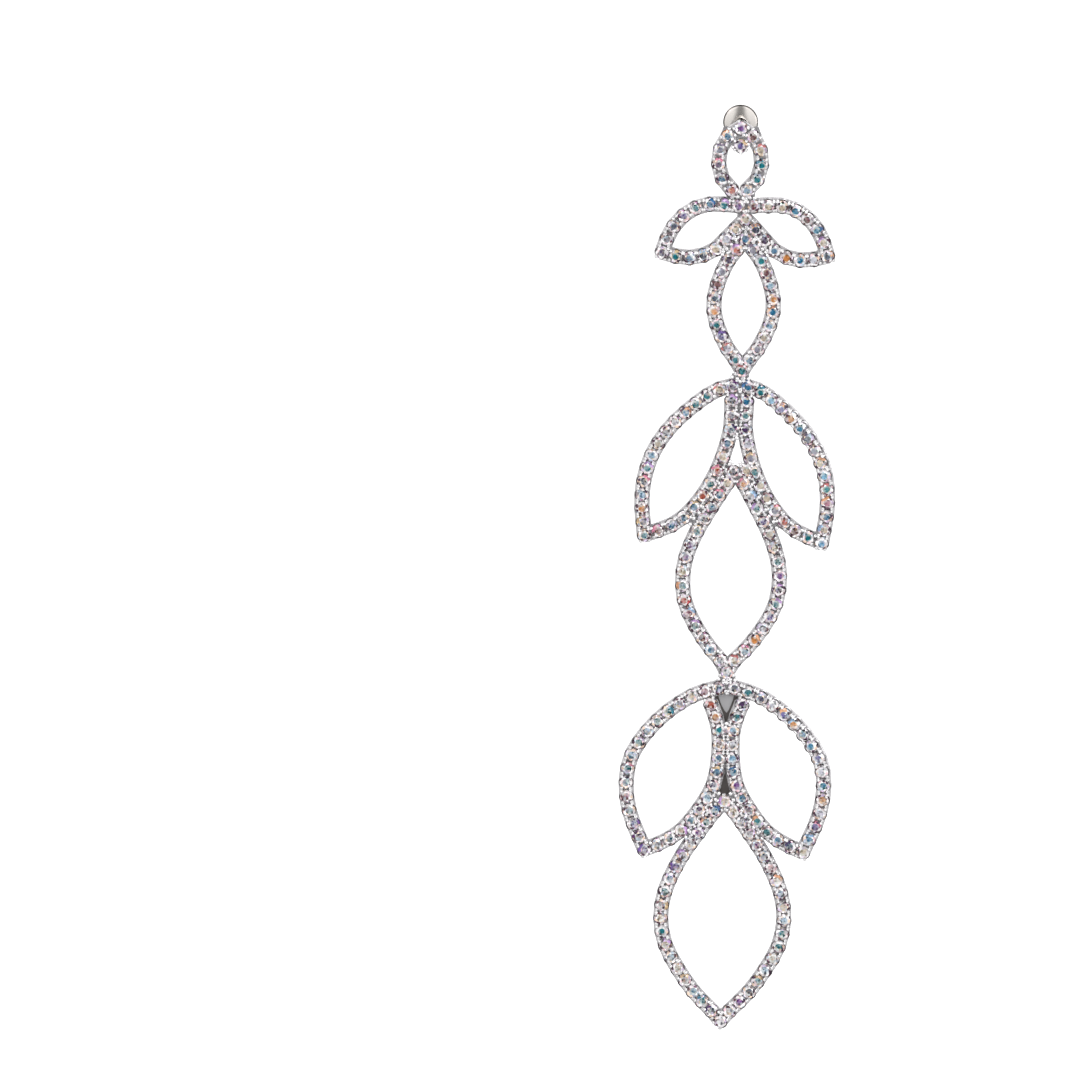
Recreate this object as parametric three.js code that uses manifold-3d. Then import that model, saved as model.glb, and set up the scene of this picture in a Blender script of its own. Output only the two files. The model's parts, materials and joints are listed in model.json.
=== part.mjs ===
// Chandelier earring, the right one of a pair: a small loop at the ear, and under it three tiers that grow larger.
// Each tier is two leaf outlines and a pear-shaped drop, bent from single rows of round stones in soldered metal cups.
// Millimetres. X runs across the jewel, Y from its front to the ear, Z up. The origin is on the axis of the ear post,
// on the face of the pad that touches the ear.

import * as THREE from 'three';
import { mergeVertices } from 'three/addons/utils/BufferGeometryUtils.js';
import Module from 'manifold-3d';

// Stones and their cups
const STONE_DIAMETER = 2.0;
const TABLE_DIAMETER = 1.15;
const CROWN_HEIGHT = 0.5;
const STONE_SIDES = 8;
const STONE_SEAT = 0.1;
const CHAIN_PITCH = 2.1;
const BAND_WIDTH = 2.3;
const BAND_DEPTH = 1.2;
const PLATE_THICKNESS = 0.5;
const PLATE_INSET = 0.2;
const JOINT_GAP = 0.3;

// Loop at the ear, measured between stone centres
const LOOP_HALF_WIDTH = 3.25;
const LOOP_HEIGHT = 9.35;
const TOP_STONE_BELOW_POST = 0.4;

// Height left between the cup at one piece's foot and the top row of the next tier. The joint gap is cut all round.
const FOOT_CLEARANCE = 0.05;

// Tiers, measured between stone centres from a tier's top row: how far the leaves reach to each side of the middle line
// and how far down their tips are, how far down the drop's apex is, and the drop's half width and length
const UPPER_LEAF_REACH = 12.45;
const UPPER_LEAF_FALL = 7.3;
const UPPER_DROP_APEX = 5.0;
const UPPER_DROP_REACH = 4.5;
const UPPER_DROP_LENGTH = 19.9;
const MIDDLE_LEAF_REACH = 13.95;
const MIDDLE_LEAF_FALL = 23.1;
const MIDDLE_DROP_APEX = 12.9;
const MIDDLE_DROP_REACH = 7.3;
const MIDDLE_DROP_LENGTH = 30.4;
const MIDDLE_SHIFT = -0.25;
const LOWER_LEAF_REACH = 14.9;
const LOWER_LEAF_FALL = 24.7;
const LOWER_DROP_APEX = 17.2;
const LOWER_DROP_REACH = 9.3;
const LOWER_DROP_LENGTH = 33.3;
const LOWER_SHIFT = 0.05;

// Ear post and its clutch
const POST_DIAMETER = 0.8;
const POST_LENGTH = 11.5;
const POST_TIP = 0.3;
const POST_GROOVE_DEPTH = 0.12;
const POST_GROOVE_FROM_TIP = 1.6;
const POST_GROOVE_WIDTH = 0.7;
const PAD_DIAMETER = 2.2;
const PAD_THICKNESS = 0.5;
const CLUTCH_DISC_DIAMETER = 5.3;
const CLUTCH_DISC_THICKNESS = 0.5;
const CLUTCH_BARREL_DIAMETER = 3.0;
const CLUTCH_LENGTH = 4.6;
const CLUTCH_NOSE_DIAMETER = 2.0;
const CLUTCH_NOSE_LENGTH = 0.9;
const CLUTCH_PLAY = 0.15;
const LOBE_ROOM = 5.6;
const ROUND_SIDES = 24;
const POST_SIDES = 12;

// Routes of the rows of stones, as shares of a tier's own sizes. A leaf route goes from the tier's top row out to the
// leaf's tip: down is a share of leafFall, and across is a share of the way from the row beside the middle line to
// leafReach. The row under the upper leaves starts on the middle line itself. A drop route goes from the drop's apex
// down one side to its foot: across is a share of dropReach and down a share of dropLength.
const LOOP_ROUTE = [
  { across: 0.0, down: 0.0 },
  { across: 0.58, down: 0.13 },
  { across: 0.92, down: 0.34 },
  { across: 1.0, down: 0.56 },
  { across: 0.84, down: 0.8 },
  { across: 0.35, down: 1.0 },
];
const UPPER_LEAF_TOP = [
  { across: 0.009, down: 0.0 },
  { across: 0.225, down: -0.02 },
  { across: 0.421, down: -0.01 },
  { across: 0.618, down: 0.1 },
  { across: 0.782, down: 0.31 },
  { across: 0.913, down: 0.61 },
  { across: 1, down: 1.0 },
];
const UPPER_LEAF_UNDER = [
  { across: 0.0, down: 0.28 },
  { across: 0.13, down: 0.5 },
  { across: 0.25, down: 0.72 },
  { across: 0.38, down: 0.94 },
  { across: 0.54, down: 1.06 },
  { across: 0.72, down: 1.1 },
  { across: 0.87, down: 1.06 },
  { across: 1.0, down: 1.0 },
];
const UPPER_DROP = [
  { across: 0.0, down: 0.0 },
  { across: 0.29, down: 0.085 },
  { across: 0.6, down: 0.185 },
  { across: 0.93, down: 0.38 },
  { across: 1.0, down: 0.5 },
  { across: 0.93, down: 0.62 },
  { across: 0.54, down: 0.82 },
  { across: 0.26, down: 0.905 },
  { across: 0.0, down: 1.0 },
];
const MIDDLE_LEAF_TOP = [
  { across: 0.009, down: 0.0 },
  { across: 0.189, down: 0.032 },
  { across: 0.459, down: 0.145 },
  { across: 0.708, down: 0.285 },
  { across: 0.897, down: 0.457 },
  { across: 0.989, down: 0.64 },
  { across: 1, down: 0.8 },
  { across: 0.954, down: 1.0 },
];
const MIDDLE_LEAF_UNDER = [
  { across: 0.005, down: 0.093 },
  { across: 0.002, down: 0.27 },
  { across: 0.032, down: 0.365 },
  { across: 0.135, down: 0.55 },
  { across: 0.297, down: 0.727 },
  { across: 0.503, down: 0.87 },
  { across: 0.643, down: 0.928 },
  { across: 0.954, down: 1.0 },
];
const MIDDLE_DROP = [
  { across: 0.0, down: 0.0 },
  { across: 0.18, down: 0.062 },
  { across: 0.48, down: 0.185 },
  { across: 0.77, down: 0.315 },
  { across: 0.96, down: 0.445 },
  { across: 1.0, down: 0.55 },
  { across: 0.93, down: 0.66 },
  { across: 0.685, down: 0.778 },
  { across: 0.36, down: 0.885 },
  { across: 0.158, down: 0.935 },
  { across: 0.0, down: 1.0 },
];
const LOWER_LEAF_TOP = [
  { across: 0.01, down: 0.0 },
  { across: 0.172, down: 0.024 },
  { across: 0.333, down: 0.063 },
  { across: 0.599, down: 0.17 },
  { across: 0.806, down: 0.295 },
  { across: 0.957, down: 0.44 },
  { across: 1, down: 0.61 },
  { across: 0.952, down: 0.78 },
  { across: 0.787, down: 1.0 },
];
const LOWER_LEAF_UNDER = [
  { across: 0.094, down: 0.1 },
  { across: 0.039, down: 0.18 },
  { across: 0.001, down: 0.265 },
  { across: -0.001, down: 0.43 },
  { across: 0.053, down: 0.6 },
  { across: 0.202, down: 0.748 },
  { across: 0.393, down: 0.88 },
  { across: 0.58, down: 0.95 },
  { across: 0.787, down: 1.0 },
];
const LOWER_DROP = [
  { across: 0.0, down: 0.0 },
  { across: 0.15, down: 0.043 },
  { across: 0.41, down: 0.143 },
  { across: 0.66, down: 0.245 },
  { across: 0.93, down: 0.405 },
  { across: 1.0, down: 0.53 },
  { across: 0.92, down: 0.655 },
  { across: 0.715, down: 0.762 },
  { across: 0.45, down: 0.867 },
  { across: 0.134, down: 0.957 },
  { across: 0.0, down: 1.0 },
];

// Tiers from the top down. shift is how far a tier's top row sits beside the foot above it, and lean is how far it
// hangs off plumb, in degrees. underInset is how far from the middle line the row under a leaf starts. Each of plates
// is a thin plate soldered behind the two inner rows, from one of their stones to another.
const BESIDE_MIDDLE = CHAIN_PITCH / 2;
const TIERS = [
  {
    name: 'upper_tier', shift: CHAIN_PITCH / 2, lean: 0.0, underInset: 0.0, plates: [[0, 1]],
    leafReach: UPPER_LEAF_REACH, leafFall: UPPER_LEAF_FALL,
    dropApex: UPPER_DROP_APEX, dropReach: UPPER_DROP_REACH, dropLength: UPPER_DROP_LENGTH,
    leafTop: UPPER_LEAF_TOP, leafUnder: UPPER_LEAF_UNDER, drop: UPPER_DROP,
  },
  {
    name: 'middle_tier', shift: MIDDLE_SHIFT, lean: 1.25, underInset: BESIDE_MIDDLE, plates: [[0, 1]],
    leafReach: MIDDLE_LEAF_REACH, leafFall: MIDDLE_LEAF_FALL,
    dropApex: MIDDLE_DROP_APEX, dropReach: MIDDLE_DROP_REACH, dropLength: MIDDLE_DROP_LENGTH,
    leafTop: MIDDLE_LEAF_TOP, leafUnder: MIDDLE_LEAF_UNDER, drop: MIDDLE_DROP,
  },
  {
    name: 'lower_tier', shift: LOWER_SHIFT, lean: -0.3, underInset: BESIDE_MIDDLE, plates: [[0, 3], [4, 7]],
    leafReach: LOWER_LEAF_REACH, leafFall: LOWER_LEAF_FALL,
    dropApex: LOWER_DROP_APEX, dropReach: LOWER_DROP_REACH, dropLength: LOWER_DROP_LENGTH,
    leafTop: LOWER_LEAF_TOP, leafUnder: LOWER_LEAF_UNDER, drop: LOWER_DROP,
  },
];

// Rows closer than this share of the chain's pitch are soldered side by side, on a web behind them.
const SOLDER_REACH = 1.5;

// Inset under the top stone: one more stone in a pointed seat that fills the head of the loop
const INSET_FALL = 2.6;
const INSET_POINT_FALL = 3.9;
const INSET_HALF_WIDTH = 1.25;
const INSET_TOP_FALL = 0.8;

const wasm = await Module();
wasm.setup();

// Solids

function solidFrom(geometry) {
  const bare = geometry.clone();
  bare.deleteAttribute('normal');
  bare.deleteAttribute('uv');
  const merged = mergeVertices(bare, 1e-5);
  const corners = merged.index.array;
  const kept = [];
  for (let i = 0; i < corners.length; i += 3) {
    const [a, b, c] = [corners[i], corners[i + 1], corners[i + 2]];
    if (a !== b && b !== c && c !== a) kept.push(a, b, c);
  }
  return new wasm.Manifold(new wasm.Mesh({
    numProp: 3,
    vertProperties: new Float32Array(merged.attributes.position.array),
    triVerts: new Uint32Array(kept),
  }));
}

function joined(solids) {
  return solids.reduce((sum, solid) => sum.add(solid));
}

function meshFrom(solid, name, material) {
  const { vertProperties, triVerts } = solid.getMesh();
  const geometry = new THREE.BufferGeometry();
  geometry.setAttribute('position', new THREE.BufferAttribute(new Float32Array(vertProperties), 3));
  geometry.setIndex(new THREE.BufferAttribute(new Uint32Array(triVerts), 1));
  geometry.computeVertexNormals();
  const mesh = new THREE.Mesh(geometry, material);
  mesh.name = name;
  return mesh;
}

// An outline in the plane of the jewel becomes a plate whose back lies at y = 0 and whose front lies at y = -depth.
function plateFrom(outline, depth) {
  const geometry = new THREE.ExtrudeGeometry(new THREE.Shape(outline), { depth, bevelEnabled: false });
  return solidFrom(geometry.rotateX(Math.PI / 2));
}

// Rows of stones

function alongRoute(rows, inset, reach, top, length) {
  const points = rows.map(({ across, down }) => (
    new THREE.Vector3(inset + across * (reach - inset), -(top + down * length), 0)
  ));
  const curve = new THREE.CatmullRomCurve3(points, false, 'centripetal');
  const steps = Math.round(curve.getLength() / CHAIN_PITCH);
  return curve.getSpacedPoints(steps).map(({ x, y }) => new THREE.Vector2(x, y));
}

function direction(points, i) {
  const before = points[Math.max(i - 1, 0)];
  const after = points[Math.min(i + 1, points.length - 1)];
  return after.clone().sub(before).normalize();
}

// One row's band: the line through its stone centres made wide, with an eighth-turn corner at each end as on a cup.
function bandOutline(points, width) {
  const half = width / 2;
  const corner = half * Math.tan(Math.PI / 8);
  const left = [];
  const right = [];
  points.forEach((point, i) => {
    const along = direction(points, i);
    const side = new THREE.Vector2(-along.y, along.x);
    const isStart = i === 0;
    const isEnd = i === points.length - 1;
    if (isStart) {
      const tip = point.clone().addScaledVector(along, -half);
      left.push(tip.clone().addScaledVector(side, corner));
      right.push(tip.clone().addScaledVector(side, -corner));
    }
    const slide = isStart ? -corner : isEnd ? corner : 0;
    const edge = point.clone().addScaledVector(along, slide);
    left.push(edge.clone().addScaledVector(side, half));
    right.push(edge.clone().addScaledVector(side, -half));
    if (isEnd) {
      const tip = point.clone().addScaledVector(along, half);
      left.push(tip.clone().addScaledVector(side, corner));
      right.push(tip.clone().addScaledVector(side, -corner));
    }
  });
  return right.concat(left.reverse());
}

// A brilliant's crown with a flat table, sunk a little into its cup.
function stoneSolid(point, along) {
  const slope = (STONE_DIAMETER - TABLE_DIAMETER) / 2 / CROWN_HEIGHT;
  const widest = STONE_DIAMETER / 2 + slope * STONE_SEAT;
  const height = CROWN_HEIGHT + STONE_SEAT;
  const geometry = new THREE.CylinderGeometry(widest, TABLE_DIAMETER / 2, height, STONE_SIDES);
  geometry.rotateY(Math.PI / STONE_SIDES - along.angle());
  geometry.translate(point.x, -BAND_DEPTH - CROWN_HEIGHT + height / 2, point.y);
  return solidFrom(geometry);
}

// A row of cups and stones. The stones that another row already holds are left to it.
function rowSolid(points, heldElsewhere = []) {
  const own = points.map((point, i) => i).filter((i) => !heldElsewhere.includes(i));
  const stones = own.map((i) => stoneSolid(points[i], direction(points, i)));
  return joined([plateFrom(bandOutline(points, BAND_WIDTH), BAND_DEPTH), ...stones]);
}

// Tiers

function tierRows(tier) {
  const leafTop = alongRoute(tier.leafTop, BESIDE_MIDDLE, tier.leafReach, 0, tier.leafFall);
  const leafUnder = alongRoute(tier.leafUnder, tier.underInset, tier.leafReach, 0, tier.leafFall);
  const drop = alongRoute(tier.drop, 0, tier.dropReach, tier.dropApex, tier.dropLength);
  return { leafTop, leafUnder, drop };
}

function mirrored(points) {
  return points.map(({ x, y }) => new THREE.Vector2(-x, y));
}

function bothSides(points) {
  return [points, mirrored(points)];
}

function placeTiers(tiers) {
  const top = new THREE.Vector2(0, -TOP_STONE_BELOW_POST - LOOP_HEIGHT);
  return tiers.map((tier) => {
    top.add(new THREE.Vector2(tier.shift, -BAND_WIDTH - FOOT_CLEARANCE));
    const at = top.clone();
    const angle = THREE.MathUtils.degToRad(tier.lean);
    const foot = tier.dropApex + tier.dropLength;
    top.add(new THREE.Vector2(-Math.sin(angle), -Math.cos(angle)).multiplyScalar(foot));
    return { at, lean: tier.lean };
  });
}

function hung(solid, { at, lean }) {
  return solid.rotate([0, lean, 0]).translate([at.x, -PAD_THICKNESS - JOINT_GAP, at.y]);
}

// A thin plate that lies a little in from the backs of the bands.
function backPlate(outline) {
  return plateFrom(outline, PLATE_THICKNESS).translate([0, -PLATE_INSET, 0]);
}

// A plate across the middle line, between the same stones of the two inner rows.
function middlePlate(right) {
  const left = mirrored(right).reverse().filter(({ x }) => x < 0);
  return backPlate([...right, ...left]);
}

// The solder between a leaf's inner row and the drop's row, as far as they lie side by side.
function solderWeb(leafUnder, drop) {
  const near = (point, others) => others.some((other) => point.distanceTo(other) < SOLDER_REACH * CHAIN_PITCH);
  const beside = leafUnder.filter((point) => near(point, drop));
  const within = drop.filter((point) => near(point, leafUnder));
  return backPlate([...beside, ...within.reverse()]);
}

function tierSolid(tier, { leafTop, leafUnder, drop }) {
  const tip = leafUnder.length - 1;
  const isUnderShared = tier.underInset === 0;
  const plates = tier.plates.map(([from, to]) => leafUnder.slice(from, to + 1));
  plates[0].unshift(leafTop[0]);
  return joined([
    ...plates.map(middlePlate),
    ...bothSides(leafTop).map((side) => rowSolid(side)),
    rowSolid(leafUnder, [tip]),
    rowSolid(mirrored(leafUnder), isUnderShared ? [0, tip] : [tip]),
    rowSolid(drop),
    rowSolid(mirrored(drop), [0, drop.length - 1]),
    solderWeb(leafUnder, drop),
    solderWeb(mirrored(leafUnder), mirrored(drop)),
  ]);
}

// The room that a tier needs at its top, which the piece above leaves free.
function tierRoom({ leafTop }) {
  const outlines = bothSides(leafTop).map((side) => bandOutline(side, BAND_WIDTH + 2 * JOINT_GAP));
  return joined(outlines.map((outline) => plateFrom(outline, BAND_DEPTH + CROWN_HEIGHT + 2 * JOINT_GAP)));
}

// Loop at the ear

function loopSolid() {
  const route = alongRoute(LOOP_ROUTE, 0, LOOP_HALF_WIDTH, 0, LOOP_HEIGHT);
  const seat = [
    new THREE.Vector2(-INSET_HALF_WIDTH, -INSET_TOP_FALL),
    new THREE.Vector2(-INSET_HALF_WIDTH, -INSET_FALL),
    new THREE.Vector2(0, -INSET_POINT_FALL),
    new THREE.Vector2(INSET_HALF_WIDTH, -INSET_FALL),
    new THREE.Vector2(INSET_HALF_WIDTH, -INSET_TOP_FALL),
  ];
  const inset = stoneSolid(new THREE.Vector2(0, -INSET_FALL), new THREE.Vector2(1, 0));
  const sides = bothSides(route).map((side, i) => rowSolid(side, i === 1 ? [0] : []));
  return joined([plateFrom(seat, BAND_DEPTH), inset, ...sides]);
}

// Post and clutch, turned about the post's axis, which runs along Y

function turned(profile, sides) {
  const points = profile.map(([radius, y]) => new THREE.Vector2(radius, y));
  return solidFrom(new THREE.LatheGeometry(points, sides));
}

function postSolid() {
  const radius = POST_DIAMETER / 2;
  const grooveEnd = POST_LENGTH - POST_GROOVE_FROM_TIP;
  return turned([
    [0, -PAD_THICKNESS],
    [PAD_DIAMETER / 2, -PAD_THICKNESS],
    [PAD_DIAMETER / 2, 0],
    [radius, 0],
    [radius, grooveEnd - POST_GROOVE_WIDTH],
    [radius - POST_GROOVE_DEPTH, grooveEnd - POST_GROOVE_WIDTH / 2],
    [radius, grooveEnd],
    [radius, POST_LENGTH - POST_TIP],
    [radius - POST_TIP / 2, POST_LENGTH],
    [0, POST_LENGTH],
  ], POST_SIDES);
}

function clutchSolid() {
  const bore = POST_DIAMETER / 2 + CLUTCH_PLAY;
  const barrel = CLUTCH_BARREL_DIAMETER / 2;
  const back = LOBE_ROOM + CLUTCH_LENGTH;
  return turned([
    [bore, LOBE_ROOM],
    [CLUTCH_DISC_DIAMETER / 2, LOBE_ROOM],
    [CLUTCH_DISC_DIAMETER / 2, LOBE_ROOM + CLUTCH_DISC_THICKNESS],
    [barrel, LOBE_ROOM + CLUTCH_DISC_THICKNESS],
    [barrel, back - CLUTCH_NOSE_LENGTH],
    [CLUTCH_NOSE_DIAMETER / 2, back],
    [bore, back],
    [bore, LOBE_ROOM],
  ], ROUND_SIDES);
}

// Finishes

const stoneRows = new THREE.MeshStandardMaterial({ color: 0xd8d2dc, roughness: 0.15, metalness: 0.6 });
const silverPlate = new THREE.MeshStandardMaterial({ color: 0xc9cacd, roughness: 0.2, metalness: 1.0 });

// The jewel

const places = placeTiers(TIERS);
const rows = TIERS.map(tierRows);
const rooms = rows.map((tierRow, i) => hung(tierRoom(tierRow), places[i]));
const earring = new THREE.Group();
const loop = hung(loopSolid(), { at: new THREE.Vector2(0, -TOP_STONE_BELOW_POST), lean: 0 });
earring.add(meshFrom(loop.subtract(rooms[0]), 'top_loop', stoneRows));
TIERS.forEach((tier, i) => {
  const whole = hung(tierSolid(tier, rows[i]), places[i]);
  const solid = i + 1 < TIERS.length ? whole.subtract(rooms[i + 1]) : whole;
  earring.add(meshFrom(solid, tier.name, stoneRows));
});
earring.add(meshFrom(postSolid(), 'ear_post', silverPlate));
earring.add(meshFrom(clutchSolid(), 'ear_clutch', silverPlate));

export default earring;
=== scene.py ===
"""Chandelier earring: its stones, cups, claws, post and clutch, with the floor, light and camera."""

import json
import math

import bpy
import numpy as np
from mathutils import Matrix, Vector

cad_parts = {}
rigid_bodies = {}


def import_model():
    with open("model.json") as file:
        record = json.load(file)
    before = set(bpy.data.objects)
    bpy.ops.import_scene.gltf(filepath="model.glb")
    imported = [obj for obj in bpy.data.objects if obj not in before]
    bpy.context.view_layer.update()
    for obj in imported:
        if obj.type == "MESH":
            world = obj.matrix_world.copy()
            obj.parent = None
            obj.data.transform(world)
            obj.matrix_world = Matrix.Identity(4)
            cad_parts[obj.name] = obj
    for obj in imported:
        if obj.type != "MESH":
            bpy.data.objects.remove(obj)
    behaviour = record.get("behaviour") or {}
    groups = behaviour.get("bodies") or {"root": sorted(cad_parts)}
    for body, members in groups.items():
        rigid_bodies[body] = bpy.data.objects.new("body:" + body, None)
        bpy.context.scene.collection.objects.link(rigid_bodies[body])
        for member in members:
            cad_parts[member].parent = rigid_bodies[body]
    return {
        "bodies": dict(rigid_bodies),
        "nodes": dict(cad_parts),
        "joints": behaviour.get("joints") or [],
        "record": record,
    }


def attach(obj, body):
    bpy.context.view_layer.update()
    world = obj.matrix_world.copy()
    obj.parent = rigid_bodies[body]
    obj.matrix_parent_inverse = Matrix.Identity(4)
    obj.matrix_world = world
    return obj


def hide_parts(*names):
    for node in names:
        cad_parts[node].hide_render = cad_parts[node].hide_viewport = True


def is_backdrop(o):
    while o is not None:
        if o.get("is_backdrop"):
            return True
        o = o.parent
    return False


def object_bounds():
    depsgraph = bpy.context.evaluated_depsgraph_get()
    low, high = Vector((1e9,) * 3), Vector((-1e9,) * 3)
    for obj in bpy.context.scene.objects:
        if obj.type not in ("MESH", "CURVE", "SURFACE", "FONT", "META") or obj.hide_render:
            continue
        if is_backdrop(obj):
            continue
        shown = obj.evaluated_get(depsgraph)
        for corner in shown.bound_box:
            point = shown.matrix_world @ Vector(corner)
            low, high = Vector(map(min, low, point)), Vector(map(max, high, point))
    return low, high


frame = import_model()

bl_info = {
    "name": "Chandelier Earring",
    "version": (1, 0, 0),
    "blender": (4, 5, 0),
    "location": "3D View > Sidebar > Earring",
    "description": "Builds a chandelier earring of cup-set crystal rows, stone by stone",
    "category": "Object",
}

# Lengths in this file are millimetres until a mesh is made. The frame is in metres.
MM = 0.001

# Rows of stones: their pitch and width, and where the bands' backs lie. The origin is on the post's axis, on
# the face of the pad that touches the ear.
PITCH = 2.1
BESIDE_MIDDLE = PITCH / 2
BACK_OF_BANDS = -0.8
CUP_ROW_WIDTH = 2.3
FOOT_CLEARANCE = 0.05
TOP_STONE_BELOW_POST = 0.4
CURVE_SAMPLES = 201

# Loop at the ear, measured between stone centres
LOOP_HALF_WIDTH = 3.25
LOOP_HEIGHT = 9.35
INSET_FALL = 2.6

# Twisted rows turn about this height in front of their backs, as far as this share of their length
TWIST_HEIGHT = 0.6
TWISTED_SHARE = 0.75

# The strip under a row, between two heights. An outline's strips differ by a step, so that none share a face.
STRIP_LOW = 0.05
STRIP_HIGH = 0.45
STRIP_STEP = 0.02
STRIP_BEVEL = 0.12
STRIP_OVERHANG = 0.2

# Claws: how far from the row's direction they stand
CLAW_ANGLE = math.radians(38)

# Plates behind the rows, as distances in front of the bands' backs. At the back they differ by steps.
PLATE_BACK = 0.2
PLATE_STEP = 0.01
GLINT_FRONT = 0.4
WEB_FRONT = 0.66
BRIDGE_FRONT = 0.72
SEAT_BACK = 0.1
SEAT_FRONT = 1.0
HEAD_BACK = 0.15
HEAD_FRONT = 0.6

# Solder: rows closer than this many pitches are joined, and beads stay this far from the stones' centres
SOLDER_REACH = 1.5
BEAD_CLEARANCE = 1.1
ROW_BEAD_RADIUS = 0.34
ROW_BEAD_HEIGHT = 0.95
INSET_BEAD_RADIUS = 0.3
INSET_BEAD_HEIGHT = 1.1

# Ear post and its pad
PAD_RADIUS = 1.1
PAD_THICKNESS = 0.5
GROOVE_FROM_TIP = 1.95
GROOVE_DEPTH = 0.12
POST_SIDES = 48

# Clutch: its place on the post, and the radii of its bore, barrel and nose
LOBE_ROOM = 5.6
CLUTCH_LENGTH = 4.6
CLUTCH_BORE = 0.56
BARREL_RADIUS = 1.5
NOSE_RADIUS = 1.0
DISC_THICKNESS = 0.5
CLUTCH_SIDES = 64

# Routes of the rows, as shares of a tier's own sizes: across, down
LOOP_ROUTE = ((0.0, 0.0), (0.58, 0.13), (0.92, 0.34), (1.0, 0.56), (0.84, 0.8), (0.35, 1.0))

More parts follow.
